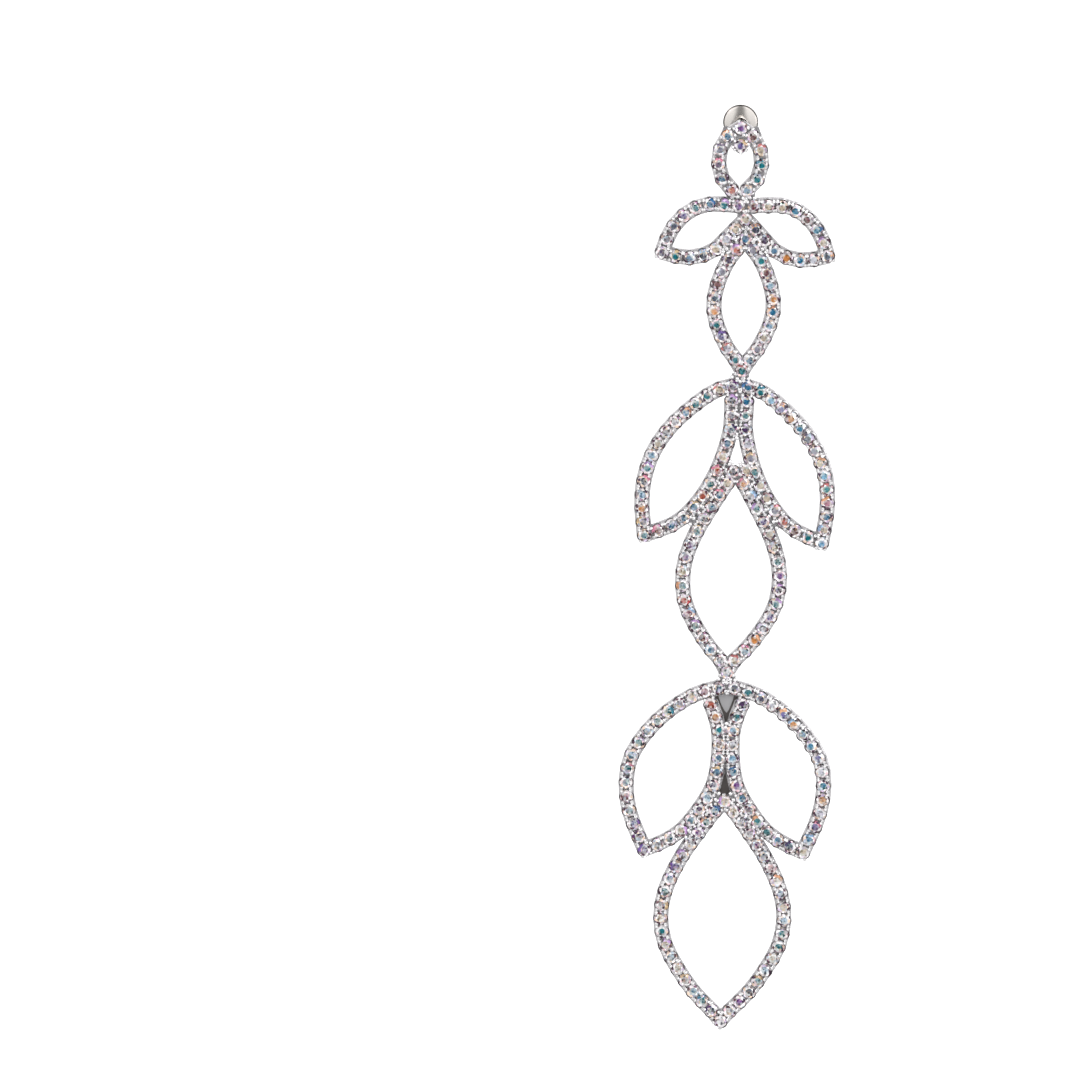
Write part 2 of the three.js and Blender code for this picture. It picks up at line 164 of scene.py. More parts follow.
# Tiers from the top down. Places are across and up, from the middle of a tier's top row.
# shift: how far that row sits beside the foot above it. lean: how far the tier hangs off plumb, in degrees.
# plates: the filled places between the two inner rows, from stone to stone, with their front and finish.
# glint: the outline of a bright plate before them.
# depth_fall: how far the deep colour lies below the middle of a stone's table.
# apex_shift and extra_stones: the drop's top stone is moved across, and more stones lie beside its rows.
# twist: how far the right leaf's outer row is turned, in degrees, so that its outer walls show.
# strength: how strongly an outline's tints show. marked: the stones whose tint stands out, by letter.
TIERS = {
    "upper_tier": dict(
        shift=PITCH / 2, lean=0.0, under_inset=0.0, seed=20,
        plates=((0, 1, 0.7, "solder"),), glint=(),
        depth_fall=0.08, apex_shift=0.0, extra_stones=(), twist=12.0,
        strength=dict(right_leaf=1.0, left_leaf=1.0, drop=1.0),
        field_beads=((2.65, -6.4), (-2.75, -6.5), (3.2, -6.9), (-3.25, -6.95)),
        marked=dict(
            right_leaf={3: "b", 12: "o"}, left_leaf={1: "t", 2: "b", 3: "t"},
            drop={2: "t", 12: "r", 13: "p"},
        ),
        leaf_reach=12.45, leaf_fall=7.3, drop_apex=5.0, drop_reach=4.5, drop_length=19.9,
        leaf_top=(
            (0.009, 0.0), (0.225, -0.02), (0.421, -0.01), (0.618, 0.1), (0.782, 0.31),
            (0.913, 0.61), (1.0, 1.0),
        ),
        leaf_under=(
            (0.0, 0.28), (0.13, 0.5), (0.25, 0.72), (0.38, 0.94), (0.54, 1.06), (0.72, 1.1),
            (0.87, 1.06), (1.0, 1.0),
        ),
        drop=(
            (0.0, 0.0), (0.29, 0.085), (0.6, 0.185), (0.93, 0.38), (1.0, 0.5), (0.93, 0.62),
            (0.54, 0.82), (0.26, 0.905), (0.0, 1.0),
        ),
    ),
    "middle_tier": dict(
        shift=-0.25, lean=1.25, under_inset=BESIDE_MIDDLE, seed=30,
        plates=((0, 1, 0.7, "solder"),), glint=(),
        depth_fall=0.1, apex_shift=-0.5, extra_stones=((1.55, -12.6),), twist=17.0,
        strength=dict(right_leaf=1.0, left_leaf=0.8, drop=0.75),
        field_beads=(
            (0.0, -2.2), (0.02, -4.3), (0.0, -6.3), (-0.15, -7.2), (-0.12, -7.8), (-0.9, -11.4),
            (0.5, -11.5),
        ),
        marked=dict(
            right_leaf={4: "o", 24: "r", 26: "t"}, left_leaf={2: "t", 3: "t", 12: "o", 22: "r"},
            drop={8: "u", 13: "o", 32: "c"},
        ),
        leaf_reach=13.95, leaf_fall=23.1, drop_apex=12.9, drop_reach=7.3, drop_length=30.4,
        leaf_top=(
            (0.009, 0.0), (0.189, 0.032), (0.459, 0.145), (0.708, 0.285), (0.897, 0.457),
            (0.989, 0.64), (1.0, 0.8), (0.954, 1.0),
        ),
        leaf_under=(
            (0.005, 0.093), (0.002, 0.27), (0.032, 0.365), (0.135, 0.55), (0.297, 0.727),
            (0.503, 0.87), (0.643, 0.928), (0.954, 1.0),
        ),
        drop=(
            (0.0, 0.0), (0.18, 0.062), (0.48, 0.185), (0.77, 0.315), (0.96, 0.445), (1.0, 0.55),
            (0.93, 0.66), (0.685, 0.778), (0.36, 0.885), (0.158, 0.935), (0.0, 1.0),
        ),
    ),
    "lower_tier": dict(
        shift=0.05, lean=-0.3, under_inset=BESIDE_MIDDLE, seed=40,
        # The slits' plates are dark sheets of painted shade
        plates=((0, 3, 0.3, "slit"), (4, 7, 0.3, "slit")),
        glint=(
            (-1.3, -0.9), (1.15, -0.9), (1.0, -1.7), (0.72, -2.5), (0.35, -3.4), (0.05, -3.8),
            (-0.3, -3.4), (-0.8, -2.5), (-1.1, -1.7),
        ),
        depth_fall=-0.18, apex_shift=0.0, extra_stones=(), twist=15.0,
        strength=dict(right_leaf=0.95, left_leaf=0.6, drop=0.65),
        field_beads=((0.1, -5.4), (-0.03, -6.0)),
        marked=dict(
            right_leaf={1: "t", 2: "p", 14: "b", 16: "p", 17: "t", 25: "t"},
            left_leaf={16: "r", 17: "o", 18: "t", 20: "b", 21: "b", 24: "p"},
            drop={11: "t", 12: "t", 16: "n", 17: "u", 30: "t"},
        ),
        leaf_reach=14.9, leaf_fall=24.7, drop_apex=17.2, drop_reach=9.3, drop_length=33.3,
        leaf_top=(
            (0.01, 0.0), (0.172, 0.024), (0.333, 0.063), (0.599, 0.17), (0.806, 0.295),
            (0.957, 0.44), (1.0, 0.61), (0.952, 0.78), (0.787, 1.0),
        ),
        leaf_under=(
            (0.094, 0.1), (0.039, 0.18), (0.001, 0.265), (-0.001, 0.43), (0.053, 0.6),
            (0.202, 0.748), (0.393, 0.88), (0.58, 0.95), (0.787, 1.0),
        ),
        drop=(
            (0.0, 0.0), (0.15, 0.043), (0.41, 0.143), (0.66, 0.245), (0.93, 0.405), (1.0, 0.53),
            (0.92, 0.655), (0.715, 0.762), (0.45, 0.867), (0.134, 0.957), (0.0, 1.0),
        ),
    ),
}

# Beads of solder at a tier's top, from its middle, and at the inset, from the top stone: across, up
JOINT_BEADS = (
    (-0.45, 1.15), (0.5, 1.3), (-1.3, 1.35), (1.25, 1.2), (0.0, 0.75), (0.05, -0.75), (-0.75, 1.9),
    (0.9, 1.95),
)
INSET_BEADS = ((1.2, -2.4), (-1.15, -2.9), (0.08, -3.7))

# The solder that fills the waist over a tier's top, from its middle: across, up
BRIDGE = ((-1.5, -0.4), (-1.3, 1.9), (1.3, 1.9), (1.5, -0.4))

# The pointed seat under the inset, and the sheet behind the loop's head, from the top stone: across, up
SEAT = (
    (-1.6, -1.0), (-1.9, -2.1), (-1.15, -2.75), (0.0, -3.85), (1.15, -2.8), (1.9, -2.1), (1.6, -1.0),
)
HEAD = (
    (-2.2, 0.3), (-2.62, 0.1), (-2.8, -0.4), (-3.05, -0.9), (-2.3, -1.7), (0.0, -1.2), (2.3, -1.7),
    (3.15, -0.9), (2.9, -0.4), (2.66, 0.2), (2.2, 0.3), (1.1, -0.2), (-1.1, -0.2),
)

# The loop's stones whose tint stands out, and its seeds for tints and for stones
LOOP_MARKED = {0: "u", 1: "m", 2: "c", 6: "b", 8: "p", 9: "b", 10: "r"}
LOOP_DEPTH_FALL = 0.08
LOOP_TINT_SEED = 3
LOOP_STONE_SEED = 5

# What a stone's table shows, by letter, and how often each is met
TINTS = {
    "b": "#1c6a96", "n": "#262c56", "t": "#1b7886", "s": "#7fa9cb", "p": "#4a1f58", "v": "#6f5a9a",
    "m": "#6d1c33", "r": "#b8432c", "o": "#d78a4e", "k": "#b9748c", "c": "#c9b6a2", "g": "#8f8a9c",
    "w": "#c9c3d2", "u": "#7d3f92",
}
COMMON_TINTS = "bbbbbttttccccpppvvvnnngggwwwssskkmmoru"

# What the facets round the table show, and how often: painted reflections, white and pale for the light
# that they catch, grey and dark for dark glints
FACET_REFLECTIONS = {
    "#f8f9f7": 0.36, "#e6e1de": 0.14, "#efcfd0": 0.06, "#edd6bb": 0.09, "#d6cae2": 0.05, "#c8dae4": 0.05,
    "#8a8886": 0.1, "#2c2725": 0.1, "#61483d": 0.05,
}
# Colours of painted highlights on one side of some stones' crowns
HIGHLIGHT_COLOURS = ("#dd8da0", "#e3aa78", "#c3a0d4", "#93bcd8", "#c87a70", "#e2c795")

# The parts of a stone, and for each how bright it is painted, the girdle and the back darker as painted
# shade, and how much of the stone's tint it has
BACK, GIRDLE, UPPER, KITE, STAR, TABLE_EDGE, TABLE_MIDDLE = range(7)
PART_PAINTED_SHADE = (0.25, 0.5, 1.0, 1.0, 1.0, 0.85, 1.0)
PART_TINT = (0.5, 0.1, 0.0, 0.05, 0.1, 0.45, 1.0)

# Ranges that a stone's or a facet's own share is drawn from. A facet's brightness and its tint's lightness
# vary from facet to facet as painted sparkle.
FACET_SPARKLE = (0.45, 1.1)
TINT_SHARE = (0.75, 1.0)
TINT_SPARKLE = (0.35, 0.95)
DEPTH_SCALE = (0.78, 1.2)

# How many stones have a painted highlight in colour, how many facets on that side show it and how many
# highlights are the stone's tint, how far the highlit side strays and reaches, and how many table facets
# flash as painted glints
HIGHLIT_STONES = 0.4
HIGHLIT_FACETS = 0.8
TINTED_HIGHLIGHTS = 0.3
HIGHLIGHT_STRAY = 0.8
HIGHLIGHT_REACH = 0.7
FLASHES = 0.05
FLASH_TINT = 0.5

# The deep colour stays within this share of the table
DEPTH_LIMIT = 0.9

# Edges between smooth faces that turn by more than this stay sharp
SHARP_ANGLE = math.radians(40)

# Tones of the polished metal: its bright tone, and a dark tone painted on the rows of the post's and the
# clutch's profiles as painted shade and dark reflection in the rims' turns and the grooves
BRIGHT_TONE = "#f1ece7"
PAINTED_SHADE_TONE = "#57524f"
POST_PAINTED_SHADE_ROWS = (0, 1, 3, 12, 15)
CLUTCH_PAINTED_SHADE_ROWS = (7, 8, 9, 10, 14, 17, 18)

# The plated metals on the claws, cups and strips, behind the rows and in the slits between them: colour,
# roughness from low to high, strength of the grain, and share of full metal. Less than full metal stands for
# the milky scatter of a surface full of small dents.
METALS = {
    "bright silver plate": dict(colour="#f4f3f4", low=0.12, high=0.22, grain=0.1, share=0.7),
    # The cups' metal is darker than the claws' as painted shade round the stones
    "painted shade silver cup": dict(colour="#b3b1b4", low=0.2, high=0.34, grain=0.15, share=0.8),
    "dull silver strip": dict(colour="#c2c0c2", low=0.3, high=0.5, grain=0.3, share=0.6),
    "grey solder": dict(colour="#aaa9ab", low=0.35, high=0.6, grain=0.6, share=0.7),
    # The metal in the slits is dark as painted shade: a dark sheet where the slits lie in shade
    "painted shade slit metal": dict(colour="#55514f", low=0.4, high=0.6, grain=0.3, share=0.6),
}

# The plating's unevenness: how many dents in a millimetre, and how deep they are
DENTS_PER_MM = 0.9
DENT_DEPTH = 0.02

# Lights in metres and watts, aimed at the middle of the jewel
LIGHT_AIM = (0.0, 0.0, -0.065)
LIGHTS = (
    dict(name="key light", place=(-0.55, -0.8, 0.55), size=0.35, power=4.0),
    dict(name="fill light", place=(0.75, -0.8, 0.05), size=0.35, power=2.2),
    dict(name="top light", place=(0.1, 0.1, 0.8), size=0.5, power=3.5),
    dict(name="back light", place=(0.3, 0.9, 0.3), size=0.5, power=2.0),
)

# The floor, far below the jewel, and the share of white light that it sends back
FLOOR_HALF_WIDTH = 6000.0
FLOOR_LEVEL = -200.0
FLOOR_SHARE = 0.95

# The camera: far off with a long lens, a little above, and rolled so that the jewel's foot swings left.
# Angles are in degrees.
DISTANCE = 3000.0
ELEVATION = 5.0
ROLL = 1.35
VIEW_WIDTH = 162.7
AIM = (-28.76, -2.0, -63.24)
SENSOR_WIDTH = 36.0
CLIP_END = 100000.0


# Curves and rows

def catmull_rom(points, t):
    """Places on a centripetal Catmull-Rom curve through points, t from 0 to 1 over the whole of it.

    From P1 to P2, with knots d = |P(i+1) - P(i)|^0.5 and tangents
    T1 = d1 ((P1-P0)/d0 - (P2-P0)/(d0+d1) + (P2-P1)/d1), T2 alike:
    C(s) = P1 + T1 s + (3(P2-P1) - 2 T1 - T2) s^2 + (2(P1-P2) + T1 + T2) s^3.
    """
    points = np.asarray(points, float)
    held = np.vstack([2 * points[0] - points[1], points, 2 * points[-1] - points[-2]])
    knots = np.maximum(np.linalg.norm(np.diff(held, axis=0), axis=1) ** 0.5, 1e-6)
    place = np.clip(t, 0, 1) * (len(points) - 1)
    i = np.minimum(place.astype(int), len(points) - 2)
    s = (place - i)[:, None]
    p0, p1, p2, p3 = held[i], held[i + 1], held[i + 2], held[i + 3]
    d0, d1, d2 = knots[i][:, None], knots[i + 1][:, None], knots[i + 2][:, None]
    t1 = d1 * ((p1 - p0) / d0 - (p2 - p0) / (d0 + d1) + (p2 - p1) / d1)
    t2 = d1 * ((p2 - p1) / d1 - (p3 - p1) / (d1 + d2) + (p3 - p2) / d2)
    square = 3 * (p2 - p1) - 2 * t1 - t2
    cube = 2 * (p1 - p2) + t1 + t2
    return p1 + t1 * s + square * s**2 + cube * s**3


def even_steps(points, pitch):
    """Places at even steps along the curve, n = round(length / pitch) steps in all."""
    t = np.linspace(0, 1, CURVE_SAMPLES)
    line = catmull_rom(points, t)
    run = np.concatenate([[0], np.cumsum(np.linalg.norm(np.diff(line, axis=0), axis=1))])
    steps = int(math.floor(run[-1] / pitch + 0.5))
    return catmull_rom(points, np.interp(np.linspace(0, run[-1], steps + 1), run, t))


def along_route(route, inset, reach, top, length):
    """A row's stone centres: x = inset + across (reach - inset), z = -(top + down length)."""
    route = np.array(route)
    x = inset + route[:, 0] * (reach - inset)
    z = -(top + route[:, 1] * length)
    return even_steps(np.column_stack([x, z]), PITCH)


def directions(points):
    """Unit direction of the row at each stone, from the stone before to the stone after."""
    before = points[np.maximum(np.arange(len(points)) - 1, 0)]
    after = points[np.minimum(np.arange(len(points)) + 1, len(points) - 1)]
    step = after - before
    return step / np.linalg.norm(step, axis=1, keepdims=True)


def mirrored(points):
    """The same row on the other side of the middle line: x becomes -x."""
    return points * (-1, 1)


def tier_rows(tier):
    """The three rows of a tier's right half, in its own plane."""
    reach, fall = tier["leaf_reach"], tier["leaf_fall"]
    top = along_route(tier["leaf_top"], BESIDE_MIDDLE, reach, 0, fall)
    under = along_route(tier["leaf_under"], tier["under_inset"], reach, 0, fall)
    drop = along_route(tier["drop"], 0, tier["drop_reach"], tier["drop_apex"], tier["drop_length"])
    return top, under, drop


def tier_places():
    """Where each tier hangs, from the loop's foot down: a point (x, z) and a lean in radians."""
    places = {}
    top = np.array([0.0, -TOP_STONE_BELOW_POST - LOOP_HEIGHT])
    for name, tier in TIERS.items():
        top = top + (tier["shift"], -CUP_ROW_WIDTH - FOOT_CLEARANCE)
        lean = math.radians(tier["lean"])
        places[name] = (top, lean)
        foot = tier["drop_apex"] + tier["drop_length"]
        top = top - foot * np.array([math.sin(lean), math.cos(lean)])
    return places


def hung(points, at, lean):
    """Points of a tier's plane turned by its lean and moved to its place: p' = R(lean) p + at."""
    c, s = math.cos(lean), math.sin(lean)
    return points @ np.array([[c, -s], [s, c]]) + at


# Shapes: vertices, faces padded with -1, and a value or colour for each face

def widened(faces, width):
    """Faces padded with -1 to hold up to width corners."""
    return np.pad(faces, ((0, 0), (0, width - faces.shape[1])), constant_values=-1)


def stacked(shapes):
    """Several shapes as one, each one's face numbers moved past the vertices before it."""
    start = np.cumsum([0] + [len(s["verts"]) for s in shapes])
    width = max(s["faces"].shape[1] for s in shapes)
    faces = []
    for first, shape in zip(start, shapes):
        f = widened(shape["faces"], width)
        faces.append(np.where(f < 0, -1, f + first))
    return {"verts": np.vstack([s["verts"] for s in shapes]), "faces": np.vstack(faces)}


def tube_faces(rings, around):
    """Faces from each ring of vertices to the next: corners k and k + 1, then the same two a ring further."""
    k = np.arange(around)
    n = (k + 1) % around
    row = (np.arange(rings - 1) * around)[:, None]
    return np.stack([row + k, row + n, row + around + n, row + around + k], axis=2).reshape(-1, 4)


def closed_tube_faces(rings, around):
    """Faces of a tube whose first and last rings are faces too, so that it is closed."""
    k = np.arange(around)
    ends = np.array([k[::-1], (rings - 1) * around + k])
    return np.vstack([widened(tube_faces(rings, around), around), ends])


def lathe(profile, sides, turn=0.0):
    """An open shape from a profile of (radius, height) turned about w: rings r (cos a, sin a)."""
    profile = np.asarray(profile, float)
    angle = turn + np.arange(sides) * 2 * np.pi / sides
    ring = np.stack([np.cos(angle), np.sin(angle)], axis=1)
    verts = np.concatenate(
        [profile[:, None, :1] * ring[None], np.repeat(profile[:, None, 1:], sides, 1)], axis=2
    )
    return verts.reshape(-1, 3), tube_faces(len(profile), sides)


def turned_solid(profile, sides, turn=0.0):
    """A lathe's vertices and faces with a fan over its first and last rings, so that it is closed."""
    verts, faces = lathe(profile, sides, turn)
    last = len(verts) - sides
    middle = np.array([verts[:sides].mean(0), verts[last:].mean(0)])
    k = np.arange(sides)
    n = (k + 1) % sides
    under = np.stack([n, k, np.full(sides, len(verts))], axis=1)
    over = np.stack([last + k, last + n, np.full(sides, len(verts) + 1)], axis=1)
    return np.vstack([verts, middle]), np.vstack([faces, widened(under, 4), widened(over, 4)])


def stone_shape(sizes):
    """One brilliant: girdle, crown of 16 upper facets, 8 kites and 8 stars, a table, and a pointed back.

    A kite's plane falls from the table's corner to the girdle, w = w_t - (w_t - w_g)(u - r_t)/(r_g - r_t).
    The deep colour in the table has a ring of its own. Each facet has its part and its angle round the stone.
    """
    r_g = sizes.stone_diameter / MM / 2
    r_t = sizes.table_diameter / MM / 2
    w_g = sizes.band_depth / MM
    w_t = w_g + sizes.crown_height / MM
    r_m = 0.5 * (r_g + r_t)
    w_m = w_t - (w_t - w_g) * (r_m * math.cos(math.pi / 8) - r_t) / (r_g - r_t)
    r_p = sizes.depth_diameter / MM / 2
    girdle_thickness = 0.12
    back_depth = 0.7 * r_g
    a16 = np.arange(16) * np.pi / 8
    a8 = np.arange(8) * np.pi / 4

    def ring(angles, r, w):
        """Places (r cos a, r sin a, w)."""
        return np.column_stack([r * np.cos(angles), r * np.sin(angles), np.full(len(angles), w)])

    rings = [
        np.array([[0, 0, w_g - back_depth]]),
        ring(a16, r_g, w_g - girdle_thickness),
        ring(a16, r_g, w_g),
        ring(a8 + np.pi / 8, r_m, w_m),
        ring(a8, r_t, w_t),
        ring(a8, r_p, w_t),
        np.array([[0, 0, w_t]]),
    ]
    low, girdle, mid, corner, depth, eye = np.cumsum([len(r) for r in rings])[:-1]
    k16 = np.arange(16)
    n16 = (k16 + 1) % 16
    k8 = np.arange(8)
    n8 = (k8 + 1) % 8
    groups = [
        (BACK, [low + n16, low + k16, 0 * k16], a16),
        (GIRDLE, [low + k16, low + n16, girdle + n16, girdle + k16], a16),
        (UPPER, [girdle + k16, girdle + n16, mid + k16 // 2], a16 + np.pi / 16),
        (KITE, [corner + k8, mid + (k8 - 1) % 8, girdle + 2 * k8, mid + k8], a8),
        (STAR, [corner + k8, mid + k8, corner + n8], a8 + np.pi / 8),
        (TABLE_EDGE, [corner + k8, corner + n8, depth + n8, depth + k8], a8 + np.pi / 8),
        (TABLE_MIDDLE, [depth + k8, depth + n8, eye + 0 * k8], a8 + np.pi / 8),
    ]
    return {
        "verts": np.vstack(rings),
        "faces": np.vstack([widened(np.stack(corners, 1), 4) for _, corners, _ in groups]),
        "part": np.concatenate([np.full(len(angles), part) for part, _, angles in groups]),
        "angle": np.concatenate([angles for _, _, angles in groups]),
        "table_ring": corner + k8,
        "depth_ring": depth + k8,
        "eye": eye,
    }


def cup_shape(sizes):
    """One stone's cup: flat back, round wall, rolled rim under the girdle, and a floor inside."""
    r = sizes.cup_diameter / MM / 2
    top = sizes.band_depth / MM
    profile = [
        (0.45 * r, 0.0), (0.86 * r, 0.0), (0.93 * r, 0.06), (0.96 * r, 0.2), (r - 0.03, 0.5 * top),
        (r - 0.01, top - 0.12), (r, top - 0.05), (r - 0.03, top + 0.01), (r - 0.07, top + 0.02),
        (r - 0.11, top - 0.02), (r - 0.13, top - 0.14), (0.8 * r, 0.35), (0.3 * r, 0.3),
    ]
    sides = 20
    verts, faces = turned_solid(profile, sides, math.pi / sides)
    along_row = 1 - sizes.cup_gap / sizes.cup_diameter
    return {"verts": verts * (along_row, 1, 1), "faces": faces}


def strip_shape(points, twists, half_width, low, high):
    """The flat strip under a row, closed at its ends, its section turned by the row's twist f about height t.

    With v across the row and h = w - t: v' = v cos f - h sin f, w' = t + v sin f + h cos f.
    """
    along = directions(points)
    across = np.column_stack([-along[:, 1], along[:, 0]])
    points = points.copy()
    points[0] -= STRIP_OVERHANG * half_width * along[0]
    points[-1] += STRIP_OVERHANG * half_width * along[-1]
    section = (
        (-1, low), (1, low), (1, high - STRIP_BEVEL), (1 - STRIP_BEVEL, high), (STRIP_BEVEL - 1, high),
        (-1, high - STRIP_BEVEL),
    )
    turn_cos, turn_sin = np.cos(twists), np.sin(twists)
    rings = []
    for side, height in section:
        v, h = side * half_width, height - TWIST_HEIGHT
        out = (v * turn_cos - h * turn_sin)[:, None]
        front = TWIST_HEIGHT + v * turn_sin + h * turn_cos
        rings.append(np.column_stack([points + out * across, front]))
    verts = np.stack(rings, axis=1).reshape(-1, 3)
    verts = np.column_stack([verts[:, 0], BACK_OF_BANDS - verts[:, 2], verts[:, 1]])
    return {"verts": verts, "faces": closed_tube_faces(len(points), len(section))}


def claw_shape(sizes):
    """Four claws: each rises up the cup's wall, bends over the girdle and thins to a round tip.

    Stations are (radius, height, half width, half thickness) along the claw's own line.
    """
    r = sizes.cup_diameter / MM / 2
    top = sizes.band_depth / MM
    stations = np.array([
        (r - 0.03, 0.25 * top, 0.3, 0.06), (r, top - 0.25, 0.3, 0.09),
        (r - 0.01, top + 0.08, 0.27, 0.12), (r - 0.13, top + 0.26, 0.22, 0.12),
        (r - 0.3, top + 0.33, 0.13, 0.07),
    ])
    line = stations[:, :2]
    along = np.gradient(line, axis=0)
    along /= np.linalg.norm(along, axis=1, keepdims=True)
    out = np.column_stack([along[:, 1], -along[:, 0]])
    across = np.array([-1.0, -0.55, 0.55, 1.0, 0.55, -0.55])
    lift = np.array([0.0, 1.0, 1.0, 0.0, -1.0, -1.0])
    centre = line[:, None] + lift[None, :, None] * (stations[:, 3:] * out)[:, None]
    sideways = across[None] * stations[:, 2:3]
    local = np.stack([centre[..., 0], sideways, centre[..., 1]], axis=2)
    faces = closed_tube_faces(len(stations), len(across))
    verts = local.reshape(-1, 3)
    claws = []
    for a in (CLAW_ANGLE, math.pi - CLAW_ANGLE, math.pi + CLAW_ANGLE, -CLAW_ANGLE):
        c, s = math.cos(a), math.sin(a)
        turned = verts @ np.array([[c, s, 0], [-s, c, 0], [0, 0, 1]])
        claws.append({"verts": turned, "faces": faces})
    return stacked(claws)


def leaned(verts, leans):
    """Each stone's vertices with w turned towards the direction d = (d_u, d_v) by an angle f; leans are f d.

    With p = u d_u + v d_v and h = w - t: p' = p cos f + h sin f, w' = t - p sin f + h cos f.
    """
    angle = np.linalg.norm(leans, axis=1)[:, None]
    d = leans / np.maximum(angle, 1e-9)
    h = verts[..., 2] - TWIST_HEIGHT
    p = verts[..., 0] * d[:, :1] + verts[..., 1] * d[:, 1:]
    shift = p * (np.cos(angle) - 1) + h * np.sin(angle)
    w = TWIST_HEIGHT - p * np.sin(angle) + h * np.cos(angle)
    return np.stack([verts[..., 0] + d[:, :1] * shift, verts[..., 1] + d[:, 1:] * shift, w], axis=2)


def twist_leans(along, twists, frame):
    """The lean that a row's twist gives, in the axes of frame: towards the row's right, (a_z, -a_x)."""
    inward = twists[:, None] * np.column_stack([along[:, 1], -along[:, 0]])
    u = np.sum(inward * frame, axis=1)
    v = np.sum(inward * np.column_stack([-frame[:, 1], frame[:, 0]]), axis=1)
    return np.column_stack([u, v])


def stamped(shape, centres, along, leans=None):
    """The shape at every centre (x, z), u along the row and w towards the front.

    X = x + u a_x - v a_z, Y = back - w, Z = z + u a_z + v a_x.
    """
    v = np.broadcast_to(shape["verts"], (len(centres), *shape["verts"].shape[-2:]))
    if leans is not None:
        v = leaned(v, leans)
    a = along[:, None]
    x = centres[:, None, 0] + v[..., 0] * a[..., 0] - v[..., 1] * a[..., 1]
    z = centres[:, None, 1] + v[..., 0] * a[..., 1] + v[..., 1] * a[..., 0]
    verts = np.stack([x, BACK_OF_BANDS - v[..., 2], z], axis=2).reshape(-1, 3)
    first = (np.arange(len(centres)) * v.shape[1])[:, None, None]
    f = shape["faces"][None]
    faces = np.where(f < 0, -1, f + first).reshape(-1, f.shape[2])
    return {"verts": verts, "faces": faces}


def beads(places, radius, height):
    """Round beads of solder at places (x, z), at one height in front of the bands' backs.

    Each is a sphere cut flat below: r = sqrt(1 - w^2), times its radius.
    """
    heights = np.array([-0.6, -0.2, 0.2, 0.55, 0.83, 0.98])
    profile = np.column_stack([np.sqrt(1 - heights**2), heights])
    verts, faces = turned_solid(profile, 10)
    along = np.tile((1.0, 0.0), (len(places), 1))
    return stamped({"verts": verts * radius + (0, 0, height), "faces": faces}, places, along)


def prism(outline, back, front):
    """A flat plate over an outline (x, z), between two distances in front of the bands' backs."""
    area = np.sum(outline[:, 0] * np.roll(outline[:, 1], -1) - np.roll(outline[:, 0], -1) * outline[:, 1])
    if area < 0:
        outline = outline[::-1]
    n = len(outline)
    verts = np.vstack([
        np.column_stack([outline[:, 0], np.full(n, BACK_OF_BANDS - distance), outline[:, 1]])
        for distance in (front, back)
    ])
    k = np.arange(n)
    after = (k + 1) % n
    sides = widened(np.stack([k, k + n, after + n, after], 1), n)
    return {"verts": verts, "faces": np.vstack([k, n + k[::-1], sides])}


# Colour

def linear(hex_colour):
    """sRGB hex to linear: c/12.92 under 0.04045, ((c + 0.055)/1.055)^2.4 above."""
    c = np.array([int(hex_colour[i:i + 2], 16) for i in (1, 3, 5)]) / 255
    return np.where(c <= 0.04045, c / 12.92, ((c + 0.055) / 1.055) ** 2.4)


def stone_colours(shape, tints, along, rng):
    """A linear colour for each facet of each stone, with painted sparkle and painted shade.

    colour = own (1 - k) + tint k f, where own is a painted reflection, darker on the girdle and back as
    painted shade and at random as painted sparkle, k is by the facet's part and the stone's strength, and f
    is random, painted sparkle too.
    On some stones the crown's facets towards one side, mostly the upper one, show a painted highlight in
    colour:
    those with cos(facet's angle - q) over the highlights' reach, where q strays about the angle of up.
    """
    n = len(tints["letters"])
    part = shape["part"][None] + np.zeros((n, 1), int)
    tint = np.array([linear(TINTS[c]) for c in tints["letters"]])[:, None]
    own = np.array([linear(h) for h in FACET_REFLECTIONS])
    own = own[rng.choice(len(own), part.shape, p=list(FACET_REFLECTIONS.values()))]
    side = np.arctan2(along[:, :1], along[:, 1:]) + rng.normal(0, HIGHLIGHT_STRAY, (n, 1))
    highlit = (np.cos(shape["angle"][None] - side) > HIGHLIGHT_REACH) & (part >= UPPER) & (part <= STAR)
    highlit &= (rng.random((n, 1)) < HIGHLIT_STONES) & (rng.random(part.shape) < HIGHLIT_FACETS)
    highlight_colour = np.array([linear(h) for h in HIGHLIGHT_COLOURS])[rng.integers(0, len(HIGHLIGHT_COLOURS), n)][:, None]
    highlight_colour = np.where(rng.random((n, 1, 1)) < TINTED_HIGHLIGHTS, tint, highlight_colour)
    own = np.where(highlit[..., None], highlight_colour, own)
    own *= np.choose(part, PART_PAINTED_SHADE)[..., None]
    own *= rng.uniform(*FACET_SPARKLE, part.shape)[..., None]
    k = np.choose(part, PART_TINT) * rng.uniform(*TINT_SHARE, (n, 1)) * tints["strengths"]
    flashing = (part == TABLE_MIDDLE) & (rng.random(part.shape) < FLASHES)
    k = np.where(flashing, FLASH_TINT, k)[..., None]
    lightness = rng.uniform(*TINT_SPARKLE, part.shape)[..., None]
    return np.clip(own * (1 - k) + tint * k * lightness, 0, 1).reshape(-1, 3)


